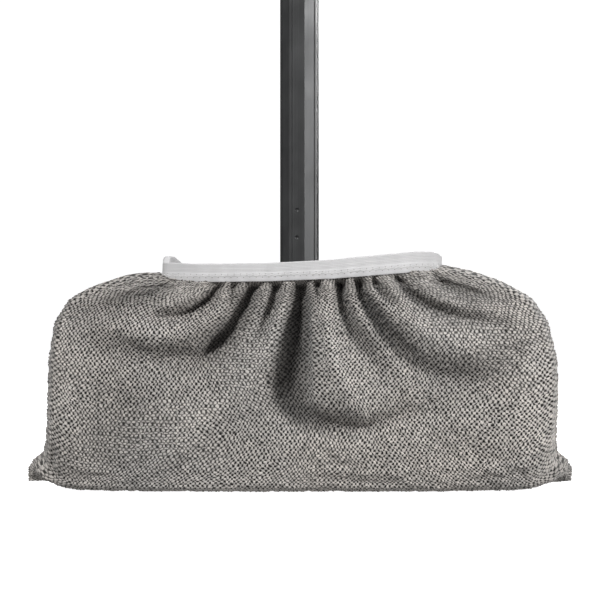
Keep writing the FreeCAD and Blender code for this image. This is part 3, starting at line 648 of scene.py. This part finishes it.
def steel_material():
    """Zinc-plated steel, brushed along X."""
    m = Nodes("zinc_plated_steel")
    brushed = m.noise(1.0, 2.0, m.place((300, 2600, 2600)))
    spots = m.noise(120.0, 4.0)
    shade = m.ramp(spots, [(0.3, (0.48, 0.48, 0.47)), (0.7, (0.62, 0.62, 0.60))])
    rough = m.ramp(brushed, [(0.3, grey(0.25)), (0.7, grey(0.42))])
    return m.finish(Base_Color=shade, Metallic=1.0, Roughness=rough, Normal=m.bump(brushed, 0.02 * MM, 0.5))


def dress(nodes, material):
    """Gives CAD nodes their material."""
    for name in nodes:
        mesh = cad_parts[name].data
        mesh.materials.clear()
        mesh.materials.append(material)


def dress_frame():
    dark = plastic_material("black_plastic", 0.035, 0.5)
    rubber = rubber_material("grey_rubber", 0.10)
    dress(["lower_tube", "upper_tube"], pole_material())
    dress(["neck_knuckle", "clamp_collar", "end_cap", "hang_eye"], dark)
    dress(["cam_lever"], plastic_material("grey_plastic", 0.16, 0.45))
    dress(["head_base", "head_shell"], plastic_material("head_plastic", 0.12, 0.55))
    dress(["pivot_washers", "guide_bush"], plastic_material("nylon", 0.5, 0.4, warmth=0.02))
    dress(["bristle_row_front", "bristle_row_middle", "bristle_row_rear", "squeegee_blade"], rubber)
    dress(["end_bumper_left", "end_bumper_right"], rubber_material("black_rubber", 0.03))
    dress(["hand_grip"], rubber_material("foam_grip", 0.03))
    steel = ["head_screws", "bracket_screws", "pivot_bracket", "pivot_bolt", "pivot_nut", "clamp_bolt", "lever_pin"]
    dress(steel, steel_material())


# ---------------------------------------------------------------- elastic band

BAND_STEPS = 320
BAND_HALF_THICK = 2.2 * MM
BAND_LEFT_IN = 3.5 * MM  # the band's left end lies further in than its right end
BAND_LOWER_BEHIND = 2.5 * MM
BAND_FOLDS_AT = 0.94  # share of its height where the elastic folds over
BAND_LAYER = 0.9 * MM
PUFF = 0.35 * MM  # of the lower half, where the fabric's edge is inside
RIB = 0.16 * MM
RIBS = 13  # to the full height
RIPPLE = 0.3 * MM
RIPPLES = 34
STITCH_HEIGHT = 3.7 * MM  # of the zigzag's middle above the band's lower edge
STITCH_SWING = 0.6 * MM
STITCH_STEP = 1.9 * MM
HOLE_R = 0.3 * MM  # needle holes at the turns of the zigzag
HOLE_SIDES = 8
THREAD_R = 0.2 * MM
THREAD_PROUD = 0.1 * MM


def mouth_line(count):
    """Evenly spaced points of the hem's line, with outward directions, starting at the left end's front."""
    angle = np.linspace(0, 2 * np.pi, 4 * count + 1)
    power = 2 / MOUTH_SQUARENESS
    x = -MOUTH_X * np.sign(np.cos(angle)) * np.abs(np.cos(angle)) ** power
    y = -MOUTH_Y * np.sign(np.sin(angle)) * np.abs(np.sin(angle)) ** power
    x = x + BAND_LEFT_IN * np.clip(-x / MOUTH_X, 0, 1) ** 4
    length = np.concatenate([[0], np.cumsum(np.hypot(np.diff(x), np.diff(y)))])
    even = np.linspace(0, length[-1], count, endpoint=False)
    x = np.interp(even, length, x)
    y = np.interp(even, length, y)
    run = np.stack([np.roll(x, -1) - np.roll(x, 1), np.roll(y, -1) - np.roll(y, 1)], -1)
    run = unit(run)
    return x, y, run[:, 1], -run[:, 0]


def band_bottom(x, y):
    """Lower edge of the band: it follows the mouth, a little lower at the back."""
    behind = np.clip(y / MOUTH_Y, 0, 1)
    return BAND_LOW.z + mouth_lift(x) - BAND_LOWER_BEHIND * behind


def band_height(x):
    """The band is a little taller where it is less stretched, at its right end."""
    return BAND_TALL * (1 + 0.05 * np.tanh((x - 25 * MM) / (25 * MM)))


def band_rise(x, y):
    """How far the band's upper edge leaves its line: at both ends, and where it doubles back at the left."""
    left_end = np.clip((-82 * MM - x) / (6 * MM), 0, 1)
    right_end = np.clip((x - 79 * MM) / (9 * MM), 0, 1)
    doubled = np.exp(-(((x + 80 * MM) / (5.5 * MM)) ** 2)) * np.clip(y / (6 * MM) + 0.5, 0, 1)
    return (5.2 * doubled - 5.0 * left_end - 5.5 * right_end**2.5) * MM


def band_puff(share):
    """How far the band's lower half swells out, at a share of its height."""
    return PUFF * np.sin(np.clip(share / 0.5, 0, 1) * np.pi) ** 0.5


def band_ripple(count):
    """The gathers push the lower edge in and out."""
    return RIPPLE * np.cos(np.linspace(0, 2 * np.pi * RIPPLES, count, endpoint=False))


def band_section():
    """Upside-down U, as (offset outwards, share of the height). The upper half has lengthwise ribs."""
    section = []
    for share in np.linspace(0, BAND_FOLDS_AT, 34):
        rib = RIB * math.cos(share * 2 * math.pi * RIBS) if share > 0.5 else 0.0
        section.append((BAND_HALF_THICK + rib + band_puff(share) * (share < 0.5), share))
    for step in np.linspace(0.1, 0.9, 7):
        turn = math.pi * step
        section.append((BAND_HALF_THICK * math.cos(turn), BAND_FOLDS_AT + (1 - BAND_FOLDS_AT) * math.sin(turn)))
    for share in np.linspace(BAND_FOLDS_AT, 0, 10):
        section.append((-BAND_HALF_THICK, share))
    inner = BAND_HALF_THICK - BAND_LAYER
    return section + [(-inner, 0.0), (-inner, 0.08), (inner, 0.08), (inner, 0.0)]


def band_piece():
    """The fold-over elastic round the mouth."""
    x, y, out_x, out_y = mouth_line(BAND_STEPS)
    low = band_bottom(x, y)
    high = low + band_height(x) + band_rise(x, y)
    ripple = band_ripple(BAND_STEPS)
    section = band_section()
    rings = []
    for offset, share in section + section[:1]:
        away = offset + ripple * (1 - share)
        rings.append(np.stack([x + out_x * away, y + out_y * away, low + (high - low) * share], -1))
    rows = len(rings)
    faces = join_last_ring(grid_faces(rows, BAND_STEPS, closed=True), rows, BAND_STEPS)
    piece = new_mesh("elastic_band_visual", np.array(rings[:-1]).reshape(-1, 3), faces)
    uv = piece.data.uv_layers.new(name="Cloth")
    for polygon in piece.data.polygons:
        row, column = divmod(polygon.index, BAND_STEPS)
        corners = ((row, column), (row, column + 1), (row + 1, column + 1), (row + 1, column))
        for corner, (r, c) in zip(polygon.loop_indices, corners):
            uv.data[corner].uv = (c / BAND_STEPS, r / (rows - 1))
    piece.data.materials.append(elastic_material())
    return piece


def join_last_ring(faces, rows, columns):
    """Makes the section closed: points of the last ring are those of the first."""
    count = (rows - 1) * columns
    return [tuple(number % count for number in face) for face in faces]


def tube_mesh(name, line, radius, sides=5):
    """Thin tube along a closed line of points."""
    run = unit(np.roll(line, -1, axis=0) - np.roll(line, 1, axis=0))
    level = unit(np.cross(run, (0.0, 0.0, 1.0)))
    steep = np.cross(run, level)
    count = len(line)
    points = []
    faces = []
    for step in range(sides):
        angle = 2 * math.pi * step / sides
        points.extend(line + radius * (math.cos(angle) * level + math.sin(angle) * steep))
        this = step * count
        following = (step + 1) % sides * count
        for number in range(count):
            after = (number + 1) % count
            faces.append((this + number, this + after, following + after, following + number))
    return new_mesh(name, points, faces)


def stitch_pieces():
    """A zigzag of thread round the band's lower half, with a dark disc of painted shade for the needle hole at each
    turn.
    """
    x, y, out_x, out_y = mouth_line(BAND_STEPS)
    around = np.sum(np.hypot(np.diff(x, append=x[:1]), np.diff(y, append=y[:1])))
    count = 2 * int(around / STITCH_STEP / 2)
    x, y, out_x, out_y = mouth_line(count)
    swing = np.where(np.arange(count) % 2 == 0, STITCH_SWING, -STITCH_SWING)
    share = (STITCH_HEIGHT + swing) / BAND_TALL
    proud = BAND_HALF_THICK + band_puff(share) + THREAD_PROUD + band_ripple(count) * (1 - share)
    z = band_bottom(x, y) + STITCH_HEIGHT + swing
    line = np.stack([x + out_x * proud, y + out_y * proud, z], -1)
    thread = tube_mesh("band_stitching", line, THREAD_R)
    thread.data.materials.append(thread_material())

    along = np.stack([-out_y, out_x, 0 * x], -1)
    upwards = np.array([0.0, 0.0, 1.0])
    centres = line + np.sign(swing)[:, None] * upwards * 1.2 * HOLE_R
    turns = [2 * math.pi * step / HOLE_SIDES for step in range(HOLE_SIDES)]
    rims = [centres + HOLE_R * (math.cos(turn) * along + math.sin(turn) * upwards) for turn in turns]
    discs = [range(HOLE_SIDES * hole, HOLE_SIDES * (hole + 1)) for hole in range(count)]
    # painted shade: flat dark discs stand in for the shade inside each needle hole
    holes = new_mesh("band_needle_holes", np.stack(rims, 1).reshape(-1, 3), discs)
    holes.data.materials.append(rubber_material("needle_holes", 0.2))
    return thread, holes


# ---------------------------------------------------------------- build the cover and the band


def build_cover():
    """The two looped panels, shaped over the head and partly settled by a cloth simulation, in place of the CAD
    panels.
    """
    start, painted_fold_tones = {}, {}
    for side in (-1, 1):
        start[side], painted_fold_tones[side] = pouch_start(side)
    shape = start
    settled = simulate(start)
    shape = {side: start[side] + SIM_SHARE * (settled[side] - start[side]) for side in start}
    fabric = fabric_material()
    for side, name in ((-1, "cover_front"), (1, "cover_rear")):
        piece = panel_piece(name, shape[side], painted_fold_tones[side], side)
        piece.data.materials.append(fabric)
        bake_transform(piece)
        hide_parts(name + "_panel")


def build_band():
    """The elastic with its seam round the mouth, in place of the CAD band."""
    for piece in (band_piece(), *stitch_pieces()):
        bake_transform(piece)
        if piece.name.startswith("elastic"):
            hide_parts("elastic_band")


# ---------------------------------------------------------------- floor, light and camera

STUDIO_RADIUS = 16.0  # the wall stands far outside the camera
STUDIO_BEND = 4.0
STUDIO_TALL = 12.0
AMBIENT = 0.1
CAMERA_X = 0.3 * MM
CAMERA_DISTANCE = 1.8
CAMERA_HEIGHT = 0.1405
VIEW_WIDE = 0.372  # seen across the picture, at the pole
SIGHT_LINE = 0.0647  # the level line of sight is this share of the picture above its middle
SENSOR = 36.0


def studio_piece():
    """Round white floor that bends up into a wall all round."""
    profile = [(1 * MM, 0.0), (0.5, 0.0), (1.5, 0.0), (STUDIO_RADIUS - STUDIO_BEND, 0.0)]
    for step in range(1, 13):
        turn = math.pi / 2 * step / 12
        across = STUDIO_RADIUS - STUDIO_BEND * (1 - math.sin(turn))
        profile.append((across, STUDIO_BEND * (1 - math.cos(turn))))
    profile.append((STUDIO_RADIUS, STUDIO_TALL))
    around = 96
    points = []
    for radius, height in profile:
        for step in range(around):
            turn = 2 * math.pi * step / around
            points.append((radius * math.cos(turn), radius * math.sin(turn), height))
    return new_mesh("studio_floor", points, grid_faces(len(profile), around, closed=True))


def stage():
    """Floor and surroundings. The floor shines by itself, so it stays white and throws nothing on the part."""
    floor = studio_piece()
    m = Nodes("pale_floor")
    m.shader.inputs["Emission Color"].default_value = (1, 1, 1, 1)
    m.shader.inputs["Emission Strength"].default_value = 1.0
    floor.data.materials.append(m.finish(Base_Color=(0.8, 0.8, 0.8, 1), Roughness=0.9))
    floor.visible_diffuse = False
    floor.visible_glossy = False
    floor.visible_shadow = False

    world = bpy.data.worlds.new("studio")
    world.use_nodes = True
    sky = world.node_tree.nodes["Background"]
    sky.inputs["Color"].default_value = (1, 1, 1, 1)
    sky.inputs["Strength"].default_value = AMBIENT
    bpy.context.scene.world = world
    bpy.context.scene.view_settings.view_transform = "Standard"


def soft_light(name, place, aim, watts, size):
    """Square area light at place, turned towards aim."""
    lamp = bpy.data.lights.new(name, "AREA")
    lamp.energy = watts
    lamp.size = size
    light = bpy.data.objects.new(name, lamp)
    light.location = place
    light.visible_camera = False
    light.rotation_euler = (Vector(aim) - Vector(place)).to_track_quat("-Z", "Y").to_euler()
    bpy.context.collection.objects.link(light)


def lights():
    """Key from the upper left, a strong side light from the right, and weak ones for the rest."""
    middle = (0, 0, 0.08)
    soft_light("key", (-0.6, -0.85, 1.1), middle, 19.5, 0.2)
    soft_light("side", (1.3, -0.45, 0.5), middle, 17, 0.3)
    soft_light("front", (0.3, -1.5, 0.35), middle, 0.6, 0.5)
    soft_light("back", (0.5, 1.5, 0.6), middle, 16, 0.6)
    soft_light("table", (0, -0.3, -0.25), (0, -0.15, 0), 1.2, 0.8)


def camera():
    """Level view of the front, shifted down so that uprights stay upright."""
    lens = bpy.data.cameras.new("camera")
    lens.sensor_width = SENSOR
    lens.lens = SENSOR * CAMERA_DISTANCE / VIEW_WIDE
    lens.shift_y = -SIGHT_LINE
    view = bpy.data.objects.new("camera", lens)
    view.location = (CAMERA_X, -CAMERA_DISTANCE, CAMERA_HEIGHT)
    view.rotation_euler = (math.radians(90), 0, 0)
    bpy.context.collection.objects.link(view)
    bpy.context.scene.camera = view


dress_frame()
build_cover()
build_band()
stage()
lights()
camera()
